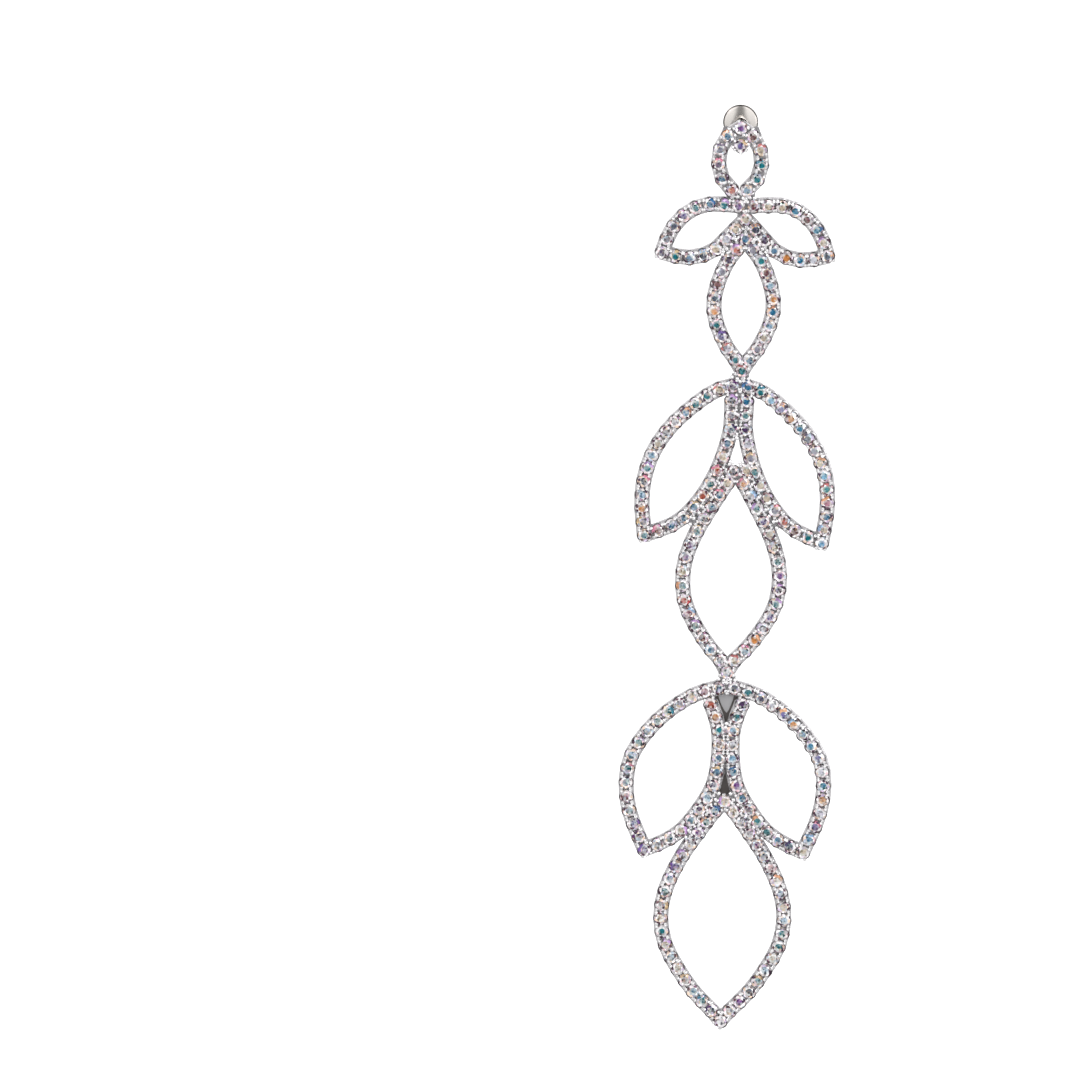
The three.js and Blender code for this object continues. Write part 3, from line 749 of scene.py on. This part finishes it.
def uneven_depths(shape, count, along, rng, fall):
    """The stone's vertices for each stone, the ring of its deep colour made uneven and moved down by fall."""
    verts = np.repeat(shape["verts"][None], count, 0)
    ring = shape["depth_ring"]
    verts[:, ring, :2] *= rng.uniform(*DEPTH_SCALE, (count, len(ring), 1))
    low = np.column_stack([-along[:, 1], -along[:, 0]]) * fall
    verts[:, ring, :2] += low[:, None]
    reach = np.linalg.norm(verts[:, ring, :2], axis=2, keepdims=True)
    table = np.linalg.norm(verts[0, shape["table_ring"][0], :2])
    verts[:, ring, :2] *= np.minimum(1, DEPTH_LIMIT * table / reach)
    verts[:, shape["eye"], :2] += low
    return verts


# Materials

def add_node(tree, kind, inputs=None, **settings):
    """A node with its settings. An input is given a value, or another node's output to be linked to."""
    node = tree.nodes.new(kind)
    for key, value in settings.items():
        setattr(node, key, value)
    for key, value in (inputs or {}).items():
        if isinstance(value, bpy.types.NodeSocket):
            tree.links.new(value, node.inputs[key])
        else:
            node.inputs[key].default_value = value
    return node


def new_material(name):
    """A material with an empty node tree, under one plain name."""
    material = bpy.data.materials.get(name) or bpy.data.materials.new(name)
    material.use_nodes = True
    material.node_tree.nodes.clear()
    return material, material.node_tree


def crystal_material():
    """Coated crystal: the facets' colours with their painted sparkle and shade, glossy, under a thin film."""
    material, tree = new_material("rainbow coated crystal")
    facet = add_node(tree, "ShaderNodeAttribute", attribute_name="facet")
    shader = add_node(tree, "ShaderNodeBsdfPrincipled", {
        "Base Color": facet.outputs["Color"], "Roughness": 0.08, "Metallic": 0.25, "IOR": 1.55,
        "Thin Film Thickness": 465.0, "Thin Film IOR": 1.9,
    })
    add_node(tree, "ShaderNodeOutputMaterial", {"Surface": shader.outputs["BSDF"]})
    return material


def metal_material(name):
    """One of the metals, whose roughness drifts between low and high, with a fine grain in its surface."""
    material, tree = new_material(name)
    metal = METALS[name]
    place = add_node(tree, "ShaderNodeTexCoord")
    drift = add_node(tree, "ShaderNodeTexNoise", {
        "Vector": place.outputs["Object"], "Scale": DENTS_PER_MM / MM, "Detail": 3.0,
    })
    spread = add_node(tree, "ShaderNodeMapRange", {
        "Value": drift.outputs["Fac"], "To Min": metal["low"], "To Max": metal["high"],
    })
    bump = add_node(tree, "ShaderNodeBump", {
        "Height": drift.outputs["Fac"], "Strength": metal["grain"], "Distance": DENT_DEPTH * MM,
    })
    shader = add_node(tree, "ShaderNodeBsdfPrincipled", {
        "Base Color": (*linear(metal["colour"]), 1.0), "Metallic": metal["share"],
        "Roughness": spread.outputs["Result"], "Normal": bump.outputs["Normal"],
    })
    add_node(tree, "ShaderNodeOutputMaterial", {"Surface": shader.outputs["BSDF"]})
    return material


def polished_material():
    """Polished silver plate on the post and clutch, with painted shade and painted dark reflection in the
    rim's turn and the grooves.
    """
    material, tree = new_material("polished silver plate")
    tone = add_node(tree, "ShaderNodeAttribute", attribute_name="facet")
    shader = add_node(tree, "ShaderNodeBsdfPrincipled", {
        "Base Color": tone.outputs["Color"], "Roughness": 0.15, "Metallic": 1.0,
    })
    add_node(tree, "ShaderNodeOutputMaterial", {"Surface": shader.outputs["BSDF"]})
    return material


def painted_ring_tones(rows, sides, painted_shade_rows, extra=0):
    """A colour for each face of a lathe: painted shade and dark reflection in the listed rows, bright in the
    others and in extra faces.
    """
    tones = np.tile(linear(BRIGHT_TONE), (rows, 1))
    tones[list(painted_shade_rows)] = linear(PAINTED_SHADE_TONE)
    return np.vstack([np.repeat(tones, sides, axis=0), np.tile(linear(BRIGHT_TONE), (extra, 1))])


# Objects

def mesh_object(name, shape, material, smooth=False):
    """A mesh object at the origin from one shape, in metres."""
    mesh = bpy.data.meshes.new(name)
    faces = [row[row >= 0].tolist() for row in shape["faces"]]
    mesh.from_pydata((shape["verts"] * MM).tolist(), [], faces)
    mesh.materials.append(material)
    if smooth:
        mesh.shade_smooth()
        mesh.set_sharp_from_angle(angle=SHARP_ANGLE)
    mesh.update()
    made = bpy.data.objects.new(name, mesh)
    bpy.context.scene.collection.objects.link(made)
    return made


def paint_facets(made, colours):
    """Writes the facet colours, painted light and shade among them, to the mesh as a face attribute."""
    layer = made.data.attributes.new("facet", "FLOAT_COLOR", "FACE")
    rgba = np.column_stack([colours, np.ones(len(colours))]).astype(np.float32)
    layer.data.foreach_set("color", rgba.ravel())


def add_piece(name, shape, material, node, body="root", smooth=False):
    """A mesh of one shape with its finish, tied to its body, with the solid that it stands for hidden."""
    made = mesh_object(name, shape, material, smooth)
    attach(made, body)
    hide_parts(node)
    return made


def add_rows(node, label, outline, tints, sizes, seed):
    """One outline: its stones, its cups, its claws and the strips under them, each as one piece."""
    name = f"{node}_{label}"
    rng = np.random.default_rng(seed)
    centres, along, twists = outline["centres"], outline["along"], outline["twists"]
    stone = stone_shape(sizes)
    turn = rng.uniform(0, 2 * np.pi, len(centres))
    spun = np.column_stack([np.cos(turn), np.sin(turn)])
    leans = rng.normal(0, sizes.stone_tilt, (len(centres), 2)) + twist_leans(along, twists, spun)
    uneven = {**stone, "verts": uneven_depths(stone, len(centres), spun, rng, tints["fall"])}
    stones = add_piece(f"{name}_stones", stamped(uneven, centres, spun, leans), crystal_material(), node)
    paint_facets(stones, stone_colours(stone, tints, spun, rng))
    leans = twist_leans(along, twists, along)
    cups = stamped(cup_shape(sizes), centres, along, leans)
    # The cups are darker than the claws as painted shade
    add_piece(f"{name}_cups", cups, metal_material("painted shade silver cup"), node, smooth=True)
    claws = stamped(claw_shape(sizes), centres, along, leans)
    add_piece(f"{name}_claws", claws, metal_material("bright silver plate"), node, smooth=True)
    half = sizes.strip_width / MM / 2
    strips = [
        strip_shape(points, row_twists, half, STRIP_LOW + STRIP_STEP * i, STRIP_HIGH - STRIP_STEP * i)
        for i, (points, row_twists) in enumerate(outline["lines"])
    ]
    add_piece(f"{name}_strips", stacked(strips), metal_material("dull silver strip"), node)


def gathered(rows, at, lean):
    """The rows of one outline, hung in place: its stones, without those held elsewhere, and its rows' lines.

    A row's twist grows from nothing at its start and is gone at TWISTED_SHARE of its length, where s = 1:
    twist sin(pi s)^0.7.
    """
    centres, along, twists, lines = [], [], [], []
    for points, held, twist in rows:
        points = hung(points, at, lean)
        own = np.setdiff1d(np.arange(len(points)), [h % len(points) for h in held])
        s = np.minimum(np.linspace(0, 1, len(points)) / TWISTED_SHARE, 1)
        row_twists = twist * np.clip(np.sin(np.pi * s), 0, 1) ** 0.7
        centres.append(points[own])
        along.append(directions(points)[own])
        twists.append(row_twists[own])
        lines.append((points, row_twists))
    return {
        "centres": np.vstack(centres),
        "along": np.vstack(along),
        "twists": np.concatenate(twists),
        "lines": lines,
    }


def with_stones(outline, places):
    """The outline with more stones of its own beside its rows, at places (x, z)."""
    outline["centres"] = np.vstack([outline["centres"], places])
    outline["along"] = np.vstack([outline["along"], np.tile((1.0, 0.0), (len(places), 1))])
    outline["twists"] = np.append(outline["twists"], np.zeros(len(places)))
    return outline


def tints_for(count, marked, strength, fall, rng):
    """A tint's letter for each stone, how strongly it shows and how far it lies below the table's middle.

    Most have a common letter at random and the outline's strength. The marked ones have their own, in full.
    """
    letters = rng.choice(list(COMMON_TINTS), count)
    strengths = np.full((count, 1), strength)
    for stone, letter in marked.items():
        letters[stone] = letter
        strengths[stone] = 1.0
    return {"letters": letters, "strengths": strengths, "fall": fall}


# Operators

class EarringSizes(bpy.types.PropertyGroup):
    """Sizes of the stones and their settings."""

    stone_diameter: bpy.props.FloatProperty(
        name="Stone", description="Width of a stone at its girdle",
        default=0.002, precision=5, unit="LENGTH",
    )
    table_diameter: bpy.props.FloatProperty(
        name="Table", description="Width of a stone's flat table",
        default=0.00115, precision=5, unit="LENGTH",
    )
    depth_diameter: bpy.props.FloatProperty(
        name="Depth", description="Width of the deep colour in the table",
        default=0.00085, precision=5, unit="LENGTH",
    )
    crown_height: bpy.props.FloatProperty(
        name="Crown", description="Height of the table over the girdle",
        default=0.0005, precision=5, unit="LENGTH",
    )
    band_depth: bpy.props.FloatProperty(
        name="Cup height", description="Height of a cup from its back to its rim",
        default=0.0012, precision=5, unit="LENGTH",
    )
    cup_diameter: bpy.props.FloatProperty(
        name="Cup", description="Width of a cup at its rim, across its row",
        default=0.00242, precision=5, unit="LENGTH",
    )
    cup_gap: bpy.props.FloatProperty(
        name="Cup gap", description="How much less wide a cup is along its row",
        default=0.00038, precision=5, unit="LENGTH",
    )
    strip_width: bpy.props.FloatProperty(
        name="Strip", description="Width of the strip under a row",
        default=0.0024, precision=5, unit="LENGTH",
    )
    stone_tilt: bpy.props.FloatProperty(
        name="Tilt", description="How far stones lean in their cups",
        default=math.radians(1.5), precision=5, subtype="ANGLE",
    )
    post_diameter: bpy.props.FloatProperty(
        name="Post", description="Width of the ear post",
        default=0.0008, precision=5, unit="LENGTH",
    )
    post_length: bpy.props.FloatProperty(
        name="Post length", description="Length of the post from the pad",
        default=0.0115, precision=5, unit="LENGTH",
    )
    disc_diameter: bpy.props.FloatProperty(
        name="Clutch disc", description="Width of the clutch's disc",
        default=0.0053, precision=5, unit="LENGTH",
    )


class EARRING_OT_loop(bpy.types.Operator):
    """Add the loop at the ear with its inset stone"""

    bl_idname = "earring.loop"
    bl_label = "Loop"

    def execute(self, context):
        sizes = context.scene.earring_sizes
        route = along_route(LOOP_ROUTE, 0, LOOP_HALF_WIDTH, 0, LOOP_HEIGHT)
        at = np.array([0.0, -TOP_STONE_BELOW_POST])
        outline = gathered([(route, (), 0.0), (mirrored(route), (0,), 0.0)], at, 0.0)
        outline = with_stones(outline, [at + (0, -INSET_FALL)])
        rng = np.random.default_rng(LOOP_TINT_SEED)
        tints = tints_for(len(outline["centres"]), LOOP_MARKED, 1.0, LOOP_DEPTH_FALL, rng)
        add_rows("top_loop", "loop", outline, tints, sizes, LOOP_STONE_SEED)
        plates = [
            prism(np.array(SEAT) + at, SEAT_BACK, SEAT_FRONT),
            prism(np.array(HEAD) + at, HEAD_BACK, HEAD_FRONT),
        ]
        # The seat and the sheet behind the head take the cups' darker metal, painted shade
        add_piece("top_loop_seat", stacked(plates), metal_material("painted shade silver cup"), "top_loop")
        dots = beads(np.array(INSET_BEADS) + at, INSET_BEAD_RADIUS, INSET_BEAD_HEIGHT)
        add_piece("top_loop_beads", dots, metal_material("bright silver plate"), "top_loop", smooth=True)
        return {"FINISHED"}


def add_solder(name, tier, at, lean):
    """What joins a tier's rows: plates between the inner ones, webs to the drop, a bridge on top, beads."""
    top, under, drop = tier_rows(tier)
    plates = {"solder": [], "slit": []}
    for start, end, front, finish in tier["plates"]:
        right = under[start:end + 1]
        if start == 0:
            right = np.vstack([top[:1], right])
        left = mirrored(right)[::-1]
        outline = np.vstack([right, left[left[:, 0] < 0]])
        plates[finish].append(prism(hung(outline, at, lean), PLATE_BACK, front))
    if tier["glint"]:
        glint = hung(np.array(tier["glint"]), at, lean)
        plates["solder"].append(prism(glint, PLATE_BACK + 2 * PLATE_STEP, GLINT_FRONT))
    near = np.linalg.norm(under[:, None] - drop[None], axis=2) < SOLDER_REACH * PITCH
    web = np.vstack([under[near.any(1)], drop[near.any(0)][::-1]])
    for outline in (web, mirrored(web)):
        plates["solder"].append(prism(hung(outline, at, lean), PLATE_BACK + PLATE_STEP, WEB_FRONT))
    bridge = hung(np.array(BRIDGE), at, lean)
    plates["solder"].append(prism(bridge, PLATE_BACK - PLATE_STEP, BRIDGE_FRONT))
    # The slits' plates are dark as painted shade
    metals = {"solder": "grey solder", "slit": "painted shade slit metal"}
    for finish, shapes in plates.items():
        if shapes:
            add_piece(f"{name}_{finish}", stacked(shapes), metal_material(metals[finish]), name)
    u, d = np.nonzero(near)
    between = (under[u] + drop[d]) / 2
    room = np.linalg.norm(between[:, None] - np.vstack([under, drop])[None], axis=2).min(1)
    between = between[room > BEAD_CLEARANCE]
    places = hung(np.vstack([between, mirrored(between), JOINT_BEADS, tier["field_beads"]]), at, lean)
    dots = beads(places, ROW_BEAD_RADIUS, ROW_BEAD_HEIGHT)
    add_piece(f"{name}_beads", dots, metal_material("bright silver plate"), name, smooth=True)


def add_tier(name, sizes):
    """A tier's two leaves, its drop and its solder."""
    tier = TIERS[name]
    at, lean = tier_places()[name]
    top, under, drop = tier_rows(tier)
    first = (0,) if tier["under_inset"] == 0 else ()
    outlines = {
        "right_leaf": [(top, (), math.radians(tier["twist"])), (under, (-1,), 0.0)],
        "left_leaf": [(mirrored(top), (), 0.0), (mirrored(under), (*first, -1), 0.0)],
        "drop": [(drop, (), 0.0), (mirrored(drop), (0, -1), 0.0)],
    }
    rng = np.random.default_rng(tier["seed"])
    for i, (label, rows) in enumerate(outlines.items()):
        outline = gathered(rows, at, lean)
        if label == "drop":
            extra = np.array(tier["extra_stones"], float).reshape(-1, 2)
            outline = with_stones(outline, hung(extra, at, lean))
            outline["centres"][0, 0] += tier["apex_shift"]
        count = len(outline["centres"])
        tints = tints_for(count, tier["marked"][label], tier["strength"][label], tier["depth_fall"], rng)
        add_rows(name, label, outline, tints, sizes, tier["seed"] + i)
    add_solder(name, tier, at, lean)


class EARRING_OT_upper_tier(bpy.types.Operator):
    """Add the upper tier with its leaves and drop"""

    bl_idname = "earring.upper_tier"
    bl_label = "Upper Tier"

    def execute(self, context):
        add_tier("upper_tier", context.scene.earring_sizes)
        return {"FINISHED"}


class EARRING_OT_middle_tier(bpy.types.Operator):
    """Add the middle tier with its leaves and drop"""

    bl_idname = "earring.middle_tier"
    bl_label = "Middle Tier"

    def execute(self, context):
        add_tier("middle_tier", context.scene.earring_sizes)
        return {"FINISHED"}


class EARRING_OT_lower_tier(bpy.types.Operator):
    """Add the lower tier with its leaves and drop"""

    bl_idname = "earring.lower_tier"
    bl_label = "Lower Tier"

    def execute(self, context):
        add_tier("lower_tier", context.scene.earring_sizes)
        return {"FINISHED"}


def along_post(verts):
    """Vertices of a lathe with its axis turned to the post's: (u, v, w) becomes (u, w, -v)."""
    return np.column_stack([verts[:, 0], verts[:, 2], -verts[:, 1]])


class EARRING_OT_post(bpy.types.Operator):
    """Add the ear post and its pad"""

    bl_idname = "earring.post"
    bl_label = "Ear Post"

    def execute(self, context):
        sizes = context.scene.earring_sizes
        r = sizes.post_diameter / MM / 2
        end = sizes.post_length / MM
        pad, under = PAD_RADIUS, -PAD_THICKNESS
        groove, deep = end - GROOVE_FROM_TIP, r - GROOVE_DEPTH
        profile = [
            (0.2, under), (pad - 0.08, under), (pad - 0.02, under + 0.04), (pad, under + 0.12), (pad, -0.12),
            (pad - 0.03, -0.04), (pad - 0.1, 0.0), (r + 0.15, 0.0), (r + 0.04, 0.05), (r, 0.18),
            (r, groove - 0.35), (r - 0.03, groove - 0.27), (deep + 0.02, groove - 0.1), (deep, groove),
            (deep + 0.02, groove + 0.1), (r - 0.03, groove + 0.27), (r, groove + 0.35), (r, end - 0.35),
            (r - 0.04, end - 0.18), (r - 0.13, end - 0.05), (r - 0.25, end),
        ]
        verts, faces = turned_solid(profile, POST_SIDES)
        made = add_piece(
            "ear_post_look", {"verts": along_post(verts), "faces": faces}, polished_material(),
            "ear_post", smooth=True,
        )
        # The listed rows of the post are painted dark: painted shade and dark reflection
        paint_facets(made, painted_ring_tones(len(profile) - 1, POST_SIDES, POST_PAINTED_SHADE_ROWS, 2 * POST_SIDES))
        return {"FINISHED"}


class EARRING_OT_clutch(bpy.types.Operator):
    """Add the clutch behind the ear, disc and barrel"""

    bl_idname = "earring.clutch"
    bl_label = "Clutch"

    def execute(self, context):
        sizes = context.scene.earring_sizes
        disc, bore, barrel, nose = sizes.disc_diameter / MM / 2, CLUTCH_BORE, BARREL_RADIUS, NOSE_RADIUS
        front, rim, back = LOBE_ROOM, LOBE_ROOM + DISC_THICKNESS, LOBE_ROOM + CLUTCH_LENGTH
        profile = [
            (bore, front + 0.2), (bore, front + 0.05), (bore + 0.06, front), (disc - 1.65, front + 0.01),
            (disc - 1.25, front + 0.04), (disc - 0.85, front + 0.09), (disc - 0.55, front + 0.14),
            (disc - 0.2, front + 0.2), (disc - 0.05, front + 0.26), (disc, front + 0.33), (disc, rim - 0.1),
            (disc - 0.05, rim - 0.04), (disc - 0.15, rim - 0.01), (disc - 0.4, rim),
            (barrel + 0.12, rim + 0.02), (barrel + 0.02, rim + 0.1), (barrel, rim + 0.3),
            (barrel, back - 1.8), (barrel - 0.08, back - 1.7), (barrel - 0.08, back - 1.55),
            (barrel, back - 1.45), (barrel, back - 0.95), (barrel - 0.06, back - 0.8),
            (nose + 0.1, back - 0.12), (nose, back - 0.02), (nose - 0.08, back),
            (bore + 0.06, back), (bore, back - 0.06),
        ]
        verts = lathe(profile, CLUTCH_SIDES)[0]
        faces = tube_faces(len(profile) + 1, CLUTCH_SIDES) % len(verts)
        made = add_piece(
            "ear_clutch_look", {"verts": along_post(verts), "faces": faces}, polished_material(),
            "ear_clutch", body="clutch", smooth=True,
        )
        # The listed rows of the clutch are painted dark: painted shade and dark reflection
        paint_facets(made, painted_ring_tones(len(profile), CLUTCH_SIDES, CLUTCH_PAINTED_SHADE_ROWS))
        return {"FINISHED"}


def area_light(name, place, aim, size, power):
    """A soft square light that the camera doesn't see."""
    data = bpy.data.lights.new(name, "AREA")
    data.size = size
    data.energy = power
    made = bpy.data.objects.new(name, data)
    bpy.context.scene.collection.objects.link(made)
    made.location = place
    made.rotation_euler = (Vector(aim) - Vector(place)).to_track_quat("-Z", "Y").to_euler()
    made.visible_camera = False


def studio_world():
    """White behind the jewel. In reflections, a bright room with a dim upright strip in front and a dim back.

    With d the direction, room = up(d_z) back(d_y) (1 - (1 - strip(|d_x|)) [d_y < 0]).
    """
    world = bpy.data.worlds.new("studio")
    bpy.context.scene.world = world
    world.use_nodes = True
    tree = world.node_tree
    tree.nodes.clear()
    place = add_node(tree, "ShaderNodeTexCoord")
    split = add_node(tree, "ShaderNodeSeparateXYZ", {"Vector": place.outputs["Generated"]})
    height = add_node(tree, "ShaderNodeMapRange", {
        "Value": split.outputs["Z"], "From Min": -0.5, "From Max": 0.7, "To Min": 0.62, "To Max": 1.22,
    }, interpolation_type="SMOOTHSTEP")
    beside = add_node(tree, "ShaderNodeMath", {0: split.outputs["X"]}, operation="ABSOLUTE")
    strip = add_node(tree, "ShaderNodeMapRange", {
        "Value": beside.outputs["Value"], "From Min": 0.05, "From Max": 0.16, "To Min": 0.2, "To Max": 1.0,
    }, interpolation_type="SMOOTHSTEP")
    behind = add_node(tree, "ShaderNodeMapRange", {
        "Value": split.outputs["Y"], "From Min": -0.3, "From Max": 0.35, "To Min": 1.0, "To Max": 0.5,
    }, interpolation_type="SMOOTHSTEP")
    is_behind = add_node(tree, "ShaderNodeMath", {0: split.outputs["Y"], 1: 0.0}, operation="GREATER_THAN")
    strip_ahead = add_node(tree, "ShaderNodeMath", {
        0: strip.outputs["Result"], 1: is_behind.outputs["Value"],
    }, operation="MAXIMUM")
    front_light = add_node(tree, "ShaderNodeMath", {
        0: height.outputs["Result"], 1: strip_ahead.outputs["Value"],
    }, operation="MULTIPLY")
    light = add_node(tree, "ShaderNodeMath", {
        0: front_light.outputs["Value"], 1: behind.outputs["Result"],
    }, operation="MULTIPLY")
    room = add_node(tree, "ShaderNodeBackground", {"Color": light.outputs["Value"], "Strength": 1.0})
    white = add_node(tree, "ShaderNodeBackground", {"Color": (*linear("#ffffff"), 1.0), "Strength": 1.0})
    path = add_node(tree, "ShaderNodeLightPath")
    mix = add_node(tree, "ShaderNodeMixShader", {
        "Fac": path.outputs["Is Camera Ray"], 1: room.outputs["Background"], 2: white.outputs["Background"],
    })
    add_node(tree, "ShaderNodeOutputWorld", {"Surface": mix.outputs["Shader"]})


def add_floor():
    """A plain pale floor below the jewel. It is seen from above only, so a look from below isn't blocked."""
    material, tree = new_material("pale floor")
    shader = add_node(tree, "ShaderNodeBsdfPrincipled", {
        "Base Color": (*(FLOOR_SHARE * linear("#ffffff")), 1.0), "Roughness": 0.9,
        "Emission Color": (*linear("#ffffff"), 1.0), "Emission Strength": 0.6,
    })
    clear = add_node(tree, "ShaderNodeBsdfTransparent")
    side = add_node(tree, "ShaderNodeNewGeometry")
    mix = add_node(tree, "ShaderNodeMixShader", {
        "Fac": side.outputs["Backfacing"], 1: shader.outputs["BSDF"], 2: clear.outputs["BSDF"],
    })
    add_node(tree, "ShaderNodeOutputMaterial", {"Surface": mix.outputs["Shader"]})
    across = FLOOR_HALF_WIDTH * np.array([(-1, -1), (1, -1), (1, 1), (-1, 1)])
    verts = np.column_stack([across, np.full(4, FLOOR_LEVEL)])
    floor = mesh_object("floor", {"verts": verts, "faces": np.array([[0, 1, 2, 3]])}, material)
    floor.visible_glossy = False
    floor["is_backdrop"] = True


def add_camera():
    """forward f = (0, cos e, -sin e); right and up are rolled by r about it."""
    e, r = math.radians(ELEVATION), math.radians(ROLL)
    forward = Vector((0, math.cos(e), -math.sin(e)))
    level = Vector((1, 0, 0))
    raised = Vector((0, math.sin(e), math.cos(e)))
    right = math.cos(r) * level + math.sin(r) * raised
    up = math.cos(r) * raised - math.sin(r) * level
    data = bpy.data.cameras.new("camera")
    data.sensor_width = SENSOR_WIDTH
    data.lens = data.sensor_width * DISTANCE / VIEW_WIDTH
    data.clip_end = CLIP_END * MM
    camera = bpy.data.objects.new("camera", data)
    bpy.context.scene.collection.objects.link(camera)
    place = Vector(AIM) * MM - forward * DISTANCE * MM
    turn = Matrix((right, up, -forward)).transposed()
    camera.matrix_world = Matrix.Translation(place) @ turn.to_4x4()
    bpy.context.scene.camera = camera


class EARRING_OT_stage(bpy.types.Operator):
    """Add the floor, the soft lights and the camera"""

    bl_idname = "earring.stage"
    bl_label = "Stage"

    def execute(self, context):
        add_floor()
        studio_world()
        for light in LIGHTS:
            area_light(aim=LIGHT_AIM, **light)
        add_camera()
        context.scene.view_settings.view_transform = "Standard"
        return {"FINISHED"}


class EARRING_PT_panel(bpy.types.Panel):
    """The earring's sizes and pieces in the sidebar"""

    bl_label = "Earring"
    bl_space_type = "VIEW_3D"
    bl_region_type = "UI"
    bl_category = "Earring"

    def draw(self, context):
        sizes = context.scene.earring_sizes
        for key in sizes.bl_rna.properties.keys():
            if key not in ("rna_type", "name"):
                self.layout.prop(sizes, key)
        for operator in OPERATORS:
            self.layout.operator(operator.bl_idname)


OPERATORS = (
    EARRING_OT_loop,
    EARRING_OT_upper_tier,
    EARRING_OT_middle_tier,
    EARRING_OT_lower_tier,
    EARRING_OT_post,
    EARRING_OT_clutch,
    EARRING_OT_stage,
)
CLASSES = (EarringSizes, *OPERATORS, EARRING_PT_panel)


def register():
    """Adds the sizes, the operators and the panel to Blender."""
    for cls in CLASSES:
        bpy.utils.register_class(cls)
    bpy.types.Scene.earring_sizes = bpy.props.PointerProperty(type=EarringSizes)


def unregister():
    """Takes them out again."""
    del bpy.types.Scene.earring_sizes
    for cls in reversed(CLASSES):
        bpy.utils.unregister_class(cls)


def corners():
    """The shown object's lowest and highest corners as plain lists."""
    bpy.context.view_layer.update()
    low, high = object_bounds()
    return [list(low), list(high)]


def main():
    """Builds every piece and the stage."""
    before = corners()
    register()
    bpy.ops.earring.loop()
    bpy.ops.earring.upper_tier()
    bpy.ops.earring.middle_tier()
    bpy.ops.earring.lower_tier()
    bpy.ops.earring.post()
    bpy.ops.earring.clutch()
    bpy.ops.earring.stage()
    {"cad": before, "looks": corners()}


if __name__ == "__main__":
    main()
